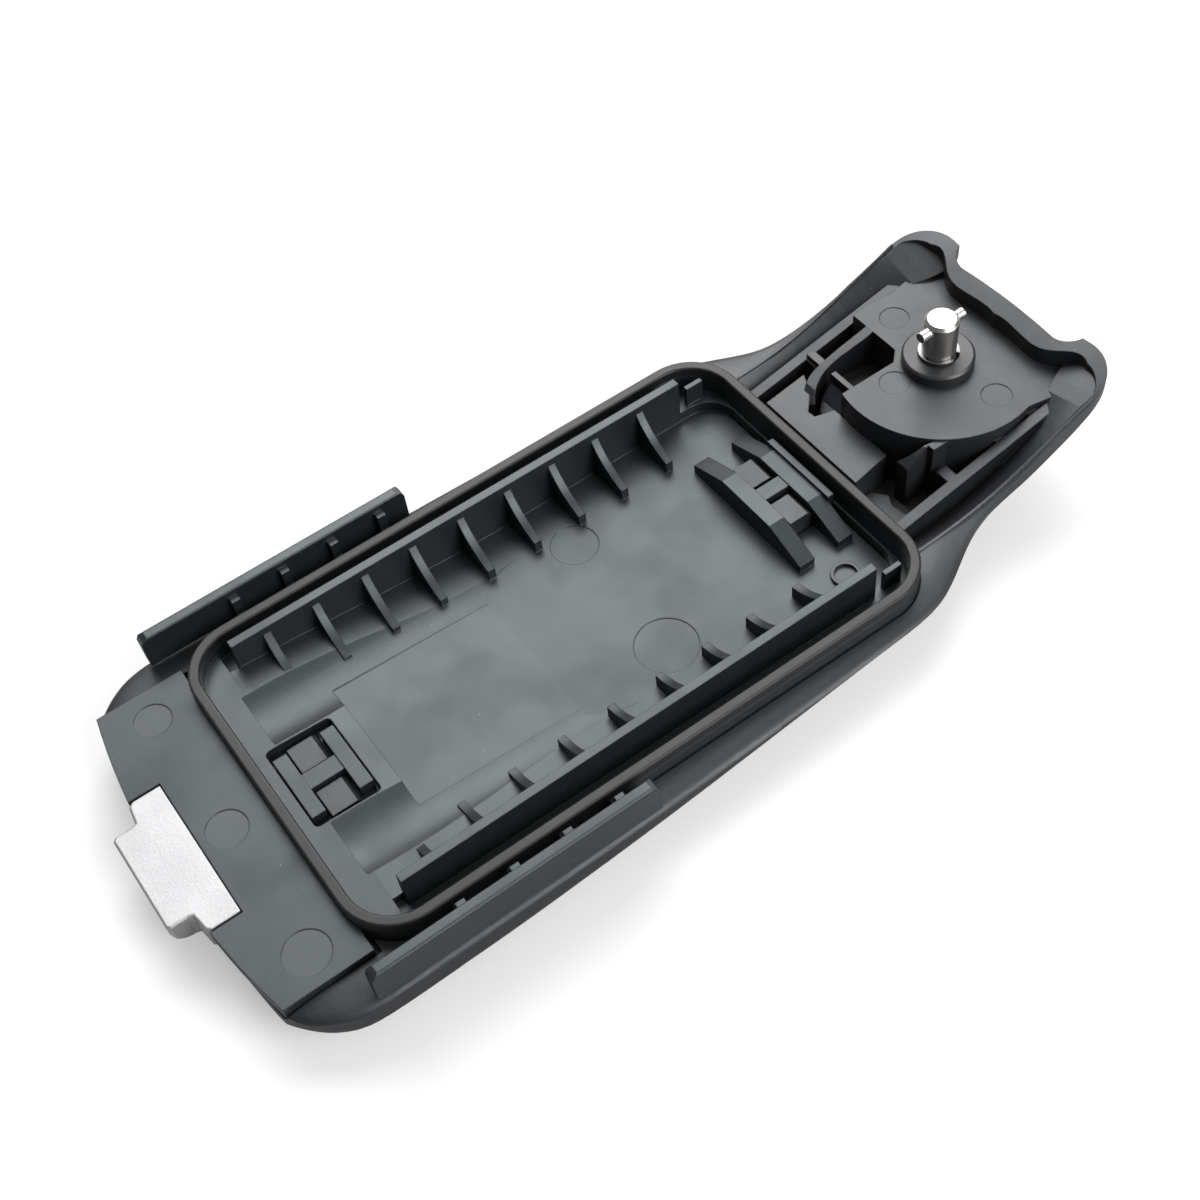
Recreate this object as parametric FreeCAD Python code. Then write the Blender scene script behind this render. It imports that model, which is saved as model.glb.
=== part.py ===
import FreeCAD, Part
import math
import os
from FreeCAD import Vector as V

# Battery door of a rugged hand-held unit: two AA cells lie in the bay inside the
# rim, a metal hook tab holds one end and a quarter-turn latch holds the other.
# Frame: +X across the door, +Y towards the latch end, +Z from the outer face to
# the inside. Origin: bottom centre of the whole door. Millimetres.

# ---------------------------------------------------------------- dimensions
END_Y = 50.15                         # half of the overall length
CLEARANCE = 0.12                      # round parts seated in the shell
SKIN = 1.6
LEDGE_Z = 5.5                         # top of the shell ledge beside the rim

RIM_X, RIM_Y0, RIM_Y1 = 18.5, -37.65, 24.15
RIM_R, RIM_W = 5.6, 1.1               # outer corner radius and wall
RIM_INNER_X = RIM_X - RIM_W
RIM_TOP = 8.0                         # top of the seal
SEAL_Z0 = 6.9

FLOOR_Z, FLOOR_T = 3.8, 1.3           # top and thickness of the cell bay floor
TRAY_FOOT = (-15.6, 15.6, -36.05, 22.75, 3.0)     # x0, x1, y0, y1, corner radius
RAIL_X, RAIL_W = 14.5, 0.85           # cell rails, inner face and thickness
RAIL_Y0, RAIL_Y1, RAIL_TOP = -32.6, 18.45, 9.3
RIB_Y = [-29.08, -23.86, -18.53, -13.22, -7.78, -2.36, 2.87, 8.03, 13.53]
RIB_T, RIB_TIP_X = 0.8, 9.8
CRADLE_R = 7.4                        # hollows that take the cells
GUIDE_X0, GUIDE_X1 = 20.15, 21.35     # side guide rails
GUIDE_Y0, GUIDE_Y1, GUIDE_TOP = -39.05, -10.55, 9.5
BRIDGE_Y = [-29.6, -24.25, -18.9, -13.6]

FLANGE_X, FLANGE_Z0, FLANGE_Z = 17.6, 4.7, 6.3    # flange plate at the hook end
TAB_W1, TAB_W2 = 7.6, 5.4             # hook tab half widths, shoulder and nose
TAB_Y0, TAB_Y1, TAB_Y2 = -44.35, -47.55, -END_Y   # root, shoulder and tip
TAB_BOT = 3.4
NOTCH_X, NOTCH_Y = 7.85, -44.25

PLATE_X, PLATE_Y0, PLATE_Y1 = 6.5, -43.4, 27.4    # back plate
TAB_SCREW = [(-4.0, -41.2), (4.0, -41.2)]
PLATE_SCREW = [(-3.6, 25.6), (3.6, 25.6)]
SCREW_HOLE_R = 1.1
INSERT_R, INSERT_TOP = 1.2, 3.7
# snap tongues: y centre, half length in y, inner x, outer x, top
TONGUES = [(-32.03, 1.5, 1.2, 4.2, 5.55), (18.65, 1.3, 1.35, 4.4, 6.05)]

LATCH_X, LATCH_Y = 0.0, 39.55         # latch axis
HOUSING_R, HOUSING_TOP, DECK_T = 10.35, 10.0, 1.5
DECK_BOT = HOUSING_TOP - DECK_T
WELL_R, WELL_STEP_Z = 9.3, 4.4
HUB_R, HUB_TOP, BUSH_R = 3.6, 11.2, 2.95
SHAFT_R, SHAFT_TOP = 1.7, 15.8
BORE_R = SHAFT_R + 0.05
STEM_R, FOOT_R = 2.7, 1.5             # thicker stem and the foot in the knob
PIN_Z, PIN_R, PIN_L = 14.85, 0.58, 5.5
CLIP_GROOVE = (11.24, 11.66)
O_RING_GROOVE = (9.05, 9.6)
KNOB_R, KNOB_Z0, KNOB_Z1 = 6.2, 1.6, 4.1
RING_R, RING_WIRE, RING_Z = 7.85, 1.05, 2.9
RING_PIN_R, RING_PIN_X = 0.7, 8.35    # radius and half length
RING_EYE_R = RING_PIN_R + 0.05
LUG_R, LUG_X0 = 1.25, 6.55

LONG_RIB_X0, LONG_RIB_X1 = 10.5, 11.6  # long ribs beside the housing
CREST_X = 14.1                        # ridge along the lip of the latch end
HOLLOW_Y0, HOLLOW_Y1 = RIM_Y1 + 0.85, 51.0

os.makedirs("parts", exist_ok=True)


# ---------------------------------------------------------------- helpers
def extruded(points, direction):
    return Part.Face(Part.makePolygon(points + points[:1])).extrude(direction)


def box(x0, x1, y0, y1, z0, z1):
    return Part.makeBox(x1 - x0, y1 - y0, z1 - z0, V(x0, y0, z0))


def prism(points, z0, z1):
    return extruded([V(x, y, z0) for x, y in points], V(0, 0, z1 - z0))


def xz_prism(points, y0, y1):
    return extruded([V(x, y0, z) for x, z in points], V(0, y1 - y0, 0))


def yz_prism(points, x0, x1):
    return extruded([V(x0, y, z) for y, z in points], V(x1 - x0, 0, 0))


def cylinder(radius, z0, z1, x=LATCH_X, y=LATCH_Y):
    return Part.makeCylinder(radius, z1 - z0, V(x, y, z0))


def rod_x(radius, x0, x1, y, z):
    return Part.makeCylinder(radius, x1 - x0, V(x0, y, z), V(1, 0, 0))


def rod_y(radius, y0, y1, x, z):
    return Part.makeCylinder(radius, y1 - y0, V(x, y0, z), V(0, 1, 0))


line = Part.makeLine


def arc(start, middle, end):
    return Part.Arc(start, middle, end).toShape()


def spline(points):
    curve = Part.BSplineCurve()
    curve.interpolate(points)
    return curve


def spline_solid(grid, height):
    """solid above the surface through a grid of points"""
    surface = Part.BSplineSurface()
    surface.interpolate(grid)
    return surface.toShape().extrude(V(0, 0, height))


def sorted_face(edges):
    return Part.Face(Part.Wire(Part.__sortEdges__(edges)))


ARC_MID = 1 - math.sqrt(0.5)          # inset of a quarter arc's middle, per unit radius


def rbox(x0, x1, y0, y1, r, z0, z1):
    """upright block with rounded corners"""
    k = r * ARC_MID
    edges = [
        line(V(x0 + r, y0, z0), V(x1 - r, y0, z0)),
        arc(V(x1 - r, y0, z0), V(x1 - k, y0 + k, z0), V(x1, y0 + r, z0)),
        line(V(x1, y0 + r, z0), V(x1, y1 - r, z0)),
        arc(V(x1, y1 - r, z0), V(x1 - k, y1 - k, z0), V(x1 - r, y1, z0)),
        line(V(x1 - r, y1, z0), V(x0 + r, y1, z0)),
        arc(V(x0 + r, y1, z0), V(x0 + k, y1 - k, z0), V(x0, y1 - r, z0)),
        line(V(x0, y1 - r, z0), V(x0, y0 + r, z0)),
        arc(V(x0, y0 + r, z0), V(x0 + k, y0 + k, z0), V(x0 + r, y0, z0)),
    ]
    return Part.Face(Part.Wire(edges)).extrude(V(0, 0, z1 - z0))


def rim_block(inset, z0, z1):
    """block on the rim outline, moved inwards by inset"""
    return rbox(-RIM_X + inset, RIM_X - inset, RIM_Y0 + inset, RIM_Y1 - inset,
                RIM_R - inset, z0, z1)


def mirror_x(shape):
    return shape.mirror(V(0, 0, 0), V(1, 0, 0))


def both_sides(shape):
    return [mirror_x(shape), shape]


def symmetric(points):
    """half outline followed by its mirror image, walked back"""
    return points + [(-x, other) for x, other in reversed(points)]


def fuse(first, *others):
    for other in others:
        first = first.fuse(other)
    return first.removeSplitter()


def edges_above(shape, z):
    return [e for e in shape.Edges if e.BoundBox.ZMin > z - 0.01]


def edges_below(shape, z):
    return [e for e in shape.Edges if e.BoundBox.ZMax < z + 0.01]


def try_fillet(solid, edges, radii):
    """fillet with the first radius that gives a valid solid"""
    for radius in radii:
        # guards against a radius that the kernel refuses
        try:
            rounded = solid.makeFillet(radius, edges)
            if rounded.isValid() and rounded.Volume > 0:
                return rounded
        except Exception:
            pass
    return solid


def try_chamfer(solid, edges, size):
    # guards against a chamfer that the kernel refuses; the edge then stays sharp
    try:
        return solid.makeChamfer(size, edges)
    except Exception:
        return solid


def export(name, shape):
    solids = shape.Solids
    shape = solids[0] if len(solids) == 1 else Part.makeCompound(solids)
    if not shape.isValid():
        shape.fix(0.001, 0.001, 0.001)
    shape.exportStep("parts/%s.step" % name)


# ---------------------------------------------------------------- shell form
# plan outline on the +X side: x, y
SIDE = [(21.45, -39.6), (21.5, -30.0), (21.3, -10.0), (20.8, 8.0), (20.3, 20.0)]
NECK = [(20.3, 20.0), (19.55, 23.4), (17.8, 26.9), (16.0, 30.2), (15.05, 33.6),
        (14.6, 37.6), (14.35, 42.0), (14.35, 45.6)]

# half width of the outside face: y, x
WIDTH = [(-53.0, 14.9), (-49.0, 16.5), (-46.5, 17.6), (-44.2, 19.6), (-42.0, 20.9),
         (-39.6, 21.45), (-30.0, 21.5), (-20.0, 21.42), (-10.0, 21.3), (-1.0, 21.08),
         (8.0, 20.8), (14.0, 20.58), (20.0, 20.3)]
WIDTH += [(y, x) for x, y in NECK[1:]] + [(48.0, 14.3), (53.0, 14.2)]

# middle line of the outside face: y, z
BELLY = [(-49.5, 7.4), (-48.2, 4.6), (-46.8, 2.9), (-44.6, 1.5), (-42.0, 0.85),
         (-39.0, 0.62), (-34.0, 0.6), (-24.0, 0.6), (-12.0, 0.6), (0.0, 0.6), (12.0, 0.6),
         (20.0, 0.62), (25.0, 0.75), (29.0, 1.05), (33.0, 1.6), (37.0, 2.4), (40.5, 3.4),
         (43.5, 4.7), (46.0, 6.4), (48.2, 8.7), (50.2, 11.6), (52.0, 15.0)]
# grid of the outside face: fractions of the half width, and stations in y
BELLY_U = [0.0, 0.2, 0.4, 0.55, 0.66, 0.75, 0.82, 0.87, 0.905, 0.935, 0.96, 0.98, 1.0,
           1.03, 1.07]
BELLY_Y = [-49.5, -48.2, -46.8, -45.6, -44.2, -42.6, -41.0, -39.0, -36.5, -34.0, -30.0,
           -26.0, -22.0, -17.0, -12.0, -6.0, 0.0, 6.0, 12.0, 16.0, 20.0, 23.0, 26.0, 29.0,
           32.0, 35.0, 38.0, 40.5, 43.5, 46.0, 48.2, 50.2, 52.0]

# lip line of the shell: y, z
LIP_RISE = [(29.0, 5.75), (33.0, 6.45), (37.3, 7.9), (41.0, 9.5), (45.3, 11.3),
            (49.0, 12.65)]
LIP_LINE = [(24.0, LEDGE_Z), (25.0, LEDGE_Z)] + LIP_RISE + [(52.0, 13.2)]
LEDGE_LINE = [(y, LEDGE_Z) for y in (-60.0, 0.0, 18.0, 24.0)] + LIP_RISE + [(53.0, 13.4)]
# rounding of the ledge edge: distance inside the outline, height over the lip line
EDGE = [(-1.6, -3.6), (-0.6, -1.9), (0.0, -0.92), (0.35, -0.54), (1.0, -0.32),
        (2.0, -0.15), (3.0, -0.02), (4.2, 0.0), (6.0, 0.0)]
LEDGE_Y = [-52.9, -49.5, -46.5, -44.2, -42.0, -39.5, -35.0, -30.0, -22.0, -14.0, -6.0,
           2.0, 10.0, 16.0, 20.0, 22.5, 25.0, 27.5, 30.0, 32.5, 35.0, 37.5, 40.0, 42.5,
           45.0, 47.5, 50.0, 52.9]

# foot of the sloping walls inside the latch end: y, x, z
TOE = [(HOLLOW_Y0, 11.7, 3.6), (29.0, 11.7, 3.9), (33.0, 11.7, 4.7), (37.3, 11.65, 6.1),
       (40.0, 11.45, 7.3), (42.0, 11.05, 8.35), (43.6, 10.3, 9.25), (45.0, 9.6, 10.05),
       (46.6, 8.9, 10.4), (48.5, 8.4, 10.8), (51.0, 8.0, 11.3)]
TOE_SPANS = 17


def outline_solid(height, inset=0.0):
    """plan outline of the shell, inset and extruded up from z = -1"""
    d, z = inset, -1.0
    bump = V(9.6, END_Y - d, z)
    bump_edge = V(8.6, 50.05 - d, z)
    dip = V(6.3, 48.35 - d, z)
    half = [
        arc(V(17.3, -46.05 + d, z), V(20.0 - d * 0.75, -43.75 + d * 0.7, z),
            V(21.45 - d, -39.6, z)),
        spline([V(x - d, y, z) for x, y in SIDE]).toShape(),
        spline([V(x - d, y, z) for x, y in NECK]).toShape(),
        arc(V(14.35 - d, 45.6, z), V(13.35 - d * 0.8, 48.55 - d * 0.6, z), bump),
        line(bump, bump_edge),
        arc(bump_edge, V(7.75, 48.85 - d, z), dip),
    ]
    ends = [arc(V(-17.3, -46.05 + d, z), V(0, -47.35 + d, z), V(17.3, -46.05 + d, z)),
            arc(dip, V(0, 48.6 - d, z), V(-6.3, 48.35 - d, z))]
    return sorted_face(half + [mirror_x(e) for e in half] + ends).extrude(V(0, 0, height))


def smooth_at(rows, y, column=1):
    """value of a column at y, by a cubic Hermite curve through the rows"""
    last = len(rows) - 1
    i = max(j for j in range(last) if rows[j][0] <= y + 1e-9)
    span = rows[i + 1][0] - rows[i][0]
    t = (y - rows[i][0]) / span

    def slope(j):
        a, b = max(j - 1, 0), min(j + 1, last)
        return (rows[b][column] - rows[a][column]) / (rows[b][0] - rows[a][0])

    return ((2 * t ** 3 - 3 * t ** 2 + 1) * rows[i][column]
            + (t ** 3 - 2 * t ** 2 + t) * slope(i) * span
            + (3 * t ** 2 - 2 * t ** 3) * rows[i + 1][column]
            + (t ** 3 - t ** 2) * slope(i + 1) * span)


def ease(t):
    t = min(1.0, max(0.0, t))
    return t * t * (3 - 2 * t)


def crown(u, y, width):
    """rise of the outside face from its middle; the sides stand upright beside the bay
    and roll in more and more towards the latch end"""
    roll = ease((y + 30.0) / 52.0)
    reach = 2.3 + (0.4 * width - 2.3) * roll        # width of the rolled-in side
    rise = 1.95 + 2.25 * roll - 0.9 * ease((y - 30.0) / 9.0)
    steepest = 0.97                                 # part of the quarter circle used
    t = max(0.0, (abs(u) * width - (width - reach)) / reach)
    if t <= 1.0:
        upright = (1 - math.sqrt(1 - (steepest * t) ** 2)) / (1 - math.sqrt(1 - steepest ** 2))
    else:
        upright = 1 + 5.1 * (t - 1)
    return 0.3 * u * u + rise * ((1 - roll) * upright + roll * t ** 3)


def above_belly(lift=0.0, inset=0.0):
    """everything above the crowned outside face, raised by lift and narrowed by inset"""
    fractions = [-u for u in reversed(BELLY_U[1:])] + BELLY_U
    grid = []
    for y in BELLY_Y:
        width = smooth_at(WIDTH, y) - inset
        grid.append([V(u * width, y, smooth_at(BELLY, y) + crown(u, y, width) + lift)
                     for u in fractions])
    return spline_solid(grid, 30)


def above_lip(lift):
    """everything above the lip line, raised by lift"""
    points = [V(0, y, z + lift) for y, z in LIP_LINE[1:]]
    start = V(0, -60, LEDGE_Z + lift)
    edges = [line(start, points[0]), spline(points).toShape(),
             line(points[-1], V(0, 52.0, 40)),
             line(V(0, 52.0, 40), V(0, -60, 40)),
             line(V(0, -60, 40), start)]
    solid = sorted_face(edges).extrude(V(80, 0, 0))
    solid.translate(V(-40, 0, 0))
    return solid


def above_ledge():
    """everything above the ledge and its rounded edge"""
    grid = []
    for y in LEDGE_Y:
        width, lip = smooth_at(WIDTH, y), smooth_at(LEDGE_LINE, y)
        depth = 1.0 - 0.8 * ease((y - 26.0) / 9.0)
        half = [(width - d, lip + h * depth) for d, h in EDGE] + [(4.0, lip), (0.0, lip)]
        row = [(-x, z) for x, z in half] + half[-2::-1]
        grid.append([V(x, y, z) for x, z in row])
    return spline_solid(grid, 40)


# ================================================================ outer shell
# outlines in plan: x, y
DECK_TONGUE = [(-10.02, 42.1), (10.02, 42.1), (10.3, 43.6), (10.7, 45.4), (11.0, 60),
               (-11.0, 60), (-10.7, 46.2)]
OPENING = [(-2.62, 20.0), (-2.62, 36.15), (-3.8, 37.38), (-13.0, 37.38), (-13.0, 20.0)]
OPENING_FLOOR = [(-1.75, 28.0), (-1.75, 36.25), (-3.6, 38.1), (-3.6, 38.5), (-13, 38.5),
                 (-13, 28.0)]
OPENING_WALL = [(-6.5, 31.45), (-6.5, 32.05), (-2.5, 32.05), (-2.5, 30.8), (-3.4, 31.45)]
RAMP = [(-6.4, 31.5), (-6.2, 30.2), (-5.2, 29.0), (-3.2, 29.0), (-2.2, 30.6), (-2.2, 31.5)]
PAD = [(-8.45, 24.8), (-9.05, 30.1), (-7.2, 29.3), (-5.9, 28.2), (-4.85, 27.2),
       (-3.95, 27.3), (-3.4, 29.35), (4.3, 29.4), (5.1, 24.8)]
SHELF = [(4.9, 24.8), (5.3, 26.9), (6.6, 27.9), (7.7, 27.3), (9.0, 27.5), (10.6, 27.9),
         (10.6, 24.8)]
BENT_RIB = [(7.7, 38.5), (7.75, 34.5), (7.75, 31.4), (7.45, 30.1), (6.75, 29.0),
            (5.75, 28.15)]
# space above the tops of ribs and ramp: y, z
ABOVE_LONG_RIB = [(20.0, 4.85), (50.0, 10.83), (50.0, 40), (20.0, 40)]
ABOVE_BENT_RIB = [(20, 5.6), (27.9, 6.5), (29.3, 7.6), (31.5, 8.3), (37.4, 10.0),
                  (39, 10.0), (39, 40), (20, 40)]
ABOVE_RIB_STUB = [(20, 7.6), (29.0, 7.9), (30.2, 9.0), (31.2, 9.75), (39, 9.9), (39, 40),
                  (20, 40)]
ABOVE_RAMP = [(28.5, 5.4), (30.0, 6.0), (31.6, 7.4), (31.6, 20), (28.5, 20)]
# stubs on the long ribs: y0, y1, length, drop below the rib top
STUBS = [(31.6, 32.7, 1.55, 0.0), (37.75, 38.75, 0.3, 0.12), (42.0, 43.1, 0.75, 0.25)]
HOUSING_MARKS = [(-7.2, 40.3), (-0.5, 34.4), (7.0, 40.8)]


def latch_hollow():
    """hollow of the latch end: the side walls slope down and inwards from a crest"""
    sections = []
    for j in range(TOE_SPANS + 1):
        y = HOLLOW_Y0 + (HOLLOW_Y1 - HOLLOW_Y0) * j / TOE_SPANS
        toe_x, toe_z = smooth_at(TOE, y, 1), smooth_at(TOE, y, 2)
        crest_z = smooth_at(LIP_LINE, y) + 0.02
        points = symmetric([(toe_x - 0.5, -4.0), (toe_x, toe_z), (CREST_X, crest_z),
                            (CREST_X, 30.0)])
        corners = [V(x, y, z) for x, z in points]
        sections.append(Part.makePolygon(corners + corners[:1]))
    slopes = Part.makeLoft(sections, True, True)

    side = line(V(CREST_X, HOLLOW_Y0, 0), V(CREST_X, 44.9, 0))
    corner = arc(V(CREST_X, 44.9, 0), V(13.15, 47.35, 0), V(11.0, 48.35, 0))
    end = spline([V(11.0, 48.35, 0), V(9.3, 48.5, 0), V(8.0, 47.7, 0), V(6.5, 46.85, 0),
                  V(4.0, 46.7, 0), V(0.0, 46.75, 0)]).toShape()
    plan = sorted_face([line(V(-CREST_X, HOLLOW_Y0, 0), V(CREST_X, HOLLOW_Y0, 0)),
                        side, corner, end, mirror_x(end), mirror_x(side), mirror_x(corner)])
    return slopes.common(plan.extrude(V(0, 0, 20))).common(above_belly(SKIN, 1.0))


def crest_ridge():
    """low ridge along the crest, +X side"""
    ridge = box(CREST_X - 0.08, CREST_X + 0.2, RIM_Y1 + 0.5, 46.0, 3, 20).cut(above_lip(0.16))
    return ridge.common(outline_solid(20, 0.12)).common(above_belly(0.3, 0.2))


def shell_inside():
    """room inside the shell that trims the ribs and the housing"""
    # some lifts may give a broken solid; the first sound one is used
    for lift in (6.0, 5.5, 5.0, 6.5, 7.0):
        inside = outline_solid(20, 1.0).cut(above_lip(lift)).common(above_belly(0.8, 0.5))
        if inside.isValid() and inside.Volume > 25000:
            break
    return inside


def housing(inside):
    """round latch housing; on the -X side its top leaves a stepped opening"""
    deck = cylinder(HOUSING_R, DECK_BOT, HOUSING_TOP)
    deck = deck.fuse(prism(DECK_TONGUE, DECK_BOT, HOUSING_TOP))
    wall = cylinder(HOUSING_R, 0, HOUSING_TOP).cut(cylinder(WELL_R, -1, DECK_BOT))
    body = deck.fuse(wall).cut(prism(OPENING, 5.6, 20))
    step = prism(OPENING_FLOOR, WELL_STEP_Z, 5.6)
    step = step.fuse(prism(OPENING_FLOOR, 5.5, HOUSING_TOP).cut(prism(OPENING, 5.0, 20)))
    return [body.common(inside), step.common(cylinder(HOUSING_R, 0, 20)).common(inside)]


def long_ribs(inside):
    """long ribs beside the housing, tops rising in a straight line, with inner stubs"""
    above = yz_prism(ABOVE_LONG_RIB, -30, 30)
    rib = box(LONG_RIB_X0, LONG_RIB_X1, RIM_Y1 + 0.7, 47.0, 0, 20).cut(above).common(inside)
    ribs = both_sides(rib)
    for y0, y1, length, drop in STUBS:
        stub = box(LONG_RIB_X0 - length, LONG_RIB_X0 + 0.05, y0, y1, 0, 20)
        stub = stub.cut(above.translated(V(0, 0, -drop))).common(inside)
        ribs += [stub, mirror_x(stub)]
    return ribs


def bent_ribs(inside):
    """rib on the -X side that bends towards the middle of the rim, and its +X remnant"""
    def offset(dx, dy):
        return spline([V(x + dx, y + (0.0 if i < 3 else dy), 0)
                       for i, (x, y) in enumerate(BENT_RIB)])

    outer, inner = offset(0.5, -0.35), offset(-0.45, 0.35)
    blank = sorted_face([outer.toShape(), inner.toShape(),
                         line(outer.StartPoint, inner.StartPoint),
                         line(outer.EndPoint, inner.EndPoint)]).extrude(V(0, 0, 20))
    rib = blank.cut(yz_prism(ABOVE_BENT_RIB, -30, 30)).common(inside)
    stub = blank.cut(yz_prism(ABOVE_RIB_STUB, -30, 30))
    stub = stub.cut(box(0, 20, 20, 29.1, -1, 30)).cut(box(7.55, 20, 20, 31.6, -1, 30))
    return [mirror_x(rib), stub.common(inside)]


def rim_side_details(inside):
    """small walls, ramp, pad and shelf between the housing and the rim"""
    cross_rib = mirror_x(box(7.9, LONG_RIB_X0 + 0.05, 31.7, 32.6, 0, 7.85))
    ramp = prism(RAMP, 0, 8).cut(yz_prism(ABOVE_RAMP, -10, 10))
    details = [cross_rib, prism(OPENING_WALL, 2.0, 8.4), ramp, prism(PAD, 0, 7.15),
               prism(SHELF, 0, 4.3)]
    return [detail.common(inside) for detail in details]


def snap_tongue(x0, x1, y, half_length, top):
    end = y + half_length
    bevel = yz_prism([(end - 0.55, top + 0.1), (end + 0.1, top + 0.1), (end + 0.1, top - 0.5)],
                     x0 - 1, x1 + 1)
    return box(x0, x1, y - half_length, end, 2.0, top).cut(bevel)


def outer_shell():
    shell = outline_solid(16).cut(above_ledge()).common(above_belly())
    # pocket for the cell tray, stepped so the skin keeps its thickness
    pocket = rim_block(-CLEARANCE, 3.85, 20)
    shell = shell.cut(pocket.fuse(rbox(-15.75, 15.75, -36.2, 22.9, 3.2, 2.45, 5)))
    # seat of the flange plate, then notch and root pocket of the hook tab
    seat_x = FLANGE_X + CLEARANCE
    shell = shell.cut(box(-seat_x, seat_x, -60, RIM_Y0 + 1.0, 4.65, 20))
    shell = shell.cut(box(-NOTCH_X, NOTCH_X, -60, NOTCH_Y, -1, 20))
    shell = shell.cut(box(-6.1, 6.1, -44.3, -38.6, 2.95, 20))
    # recess of the back plate, and the screw holes through the skin
    recess_x = PLATE_X + CLEARANCE
    shell = shell.cut(rbox(-recess_x, recess_x, PLATE_Y0 - CLEARANCE, PLATE_Y1 + CLEARANCE,
                           2.0, -2, 1.0))
    for x, y in TAB_SCREW:
        shell = shell.cut(cylinder(SCREW_HOLE_R, -2, 6, x, y))

    shell = shell.cut(latch_hollow())
    for ridge in both_sides(crest_ridge()):
        shell = shell.fuse(ridge)
    inside = shell_inside()
    shell = fuse(shell, *housing(inside), *long_ribs(inside), *bent_ribs(inside),
                 *rim_side_details(inside))

    # latch well from the outside, keeping the floor under the opening; bush seat
    upper_well = cylinder(WELL_R, 4.0, DECK_BOT).cut(prism(OPENING_FLOOR, WELL_STEP_Z, 20))
    shell = shell.cut(cylinder(WELL_R, -2, WELL_STEP_Z)).cut(upper_well)
    shell = shell.cut(cylinder(BUSH_R, 5, 20))
    # round ejector marks on the housing top
    for x, y in HOUSING_MARKS:
        shell = shell.cut(cylinder(1.5, HOUSING_TOP - 0.07, HOUSING_TOP + 0.3, x, y))
    # blind seats of the threaded inserts
    for x, y in PLATE_SCREW:
        shell = shell.cut(cylinder(INSERT_R, -2, INSERT_TOP, x, y))
    # snap tongues that rise through the tray floor into its H frames
    for y, half_length, inner, outer, top in TONGUES:
        for side in (-1, 1):
            x0, x1 = sorted((side * inner, side * outer))
            shell = shell.fuse(snap_tongue(x0, x1, y, half_length, top))
    return shell.removeSplitter()


# ================================================================ cell tray
RAISED_Y0, RAISED_Z = -36.55, 6.15    # raised floor at the hook end
# fall of the raised floor: y, z
RAISED_TOP = [(-34.1, RAISED_Z), (-28.0, 5.75), (-20.0, 4.95), (-12.0, 4.2), (-6.0, 3.87),
              (-2.5, 3.795)]
SUNK_FLOOR = [(-26.9, 4.86), (-9.4, 3.78), (0.0, 3.78), (0.0, 9.0), (-26.9, 9.0)]
SCALLOP_X, SCALLOP_Z = 8.2, 12.42     # centre of the rib scallops
SCALLOP_OUT_Z, SCALLOP_TIP_Z = 8.62, 5.2
H_LEG = symmetric([(-8.2, 3.7), (-8.2, 4.75), (-3.6, 6.5)])     # x, z
WINDOW_GAP = 0.13
# ejector marks: x, y, z of the face, radius
TRAY_MARKS = [(-14.2, -41.75, FLANGE_Z, 1.8), (0.0, -41.6, FLANGE_Z, 1.95),
              (14.4, -41.75, FLANGE_Z, 2.15), (-8.2, 0.7, FLOOR_Z, 2.4),
              (6.9, 0.6, FLOOR_Z, 3.1)]


def rim_tongue():
    """narrow tongue under the seal"""
    return rim_block(0.3, 6.8, 7.5).cut(rim_block(0.8, 6, 9))


def raised_floor():
    """floor raised at the hook end, falling away towards the middle"""
    bottom = 3.7
    points = [V(0, y, z) for y, z in RAISED_TOP]
    foot, head = V(0, RAISED_Y0, bottom), V(0, RAISED_Y0, RAISED_Z)
    end = V(0, points[-1].y, bottom)
    profile = Part.Wire([line(foot, head), line(head, points[0]), spline(points).toShape(),
                         line(points[-1], end), line(end, foot)])
    floor = Part.Face(profile).extrude(V(2 * RAIL_X + 0.1, 0, 0))
    floor.translate(V(-RAIL_X - 0.05, 0, 0))
    floor = floor.fuse(box(-RIM_INNER_X - 0.05, RIM_INNER_X + 0.05, RIM_Y0 + RIM_W - 0.05,
                           -33.6, 4.9, RAISED_Z))
    # two slightly sloping cradles for the ends of the cells
    for side in (-1, 1):
        cradle = Part.makeCylinder(CRADLE_R, 46.0, V(side * 8.15, -34.1, 12.85),
                                   V(0, 25.1, -1.69))
        floor = floor.cut(cradle.cut(box(-30, 30, -60, -34.1, -30, 40)))
    # sunk middle floor between the cradles
    floor = floor.cut(yz_prism(SUNK_FLOOR, -7.6, 7.6))
    floor = floor.common(rbox(-RIM_INNER_X - 0.2, RIM_INNER_X + 0.2, RIM_Y0 + RIM_W - 0.2,
                              RIM_Y1, RIM_R - RIM_W + 0.2, 3, 9))
    low = floor.common(rbox(*TRAY_FOOT, 3.0, 3.95))
    return low.fuse(floor.common(box(-40, 40, -60, 60, 3.9, 20)))


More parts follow.
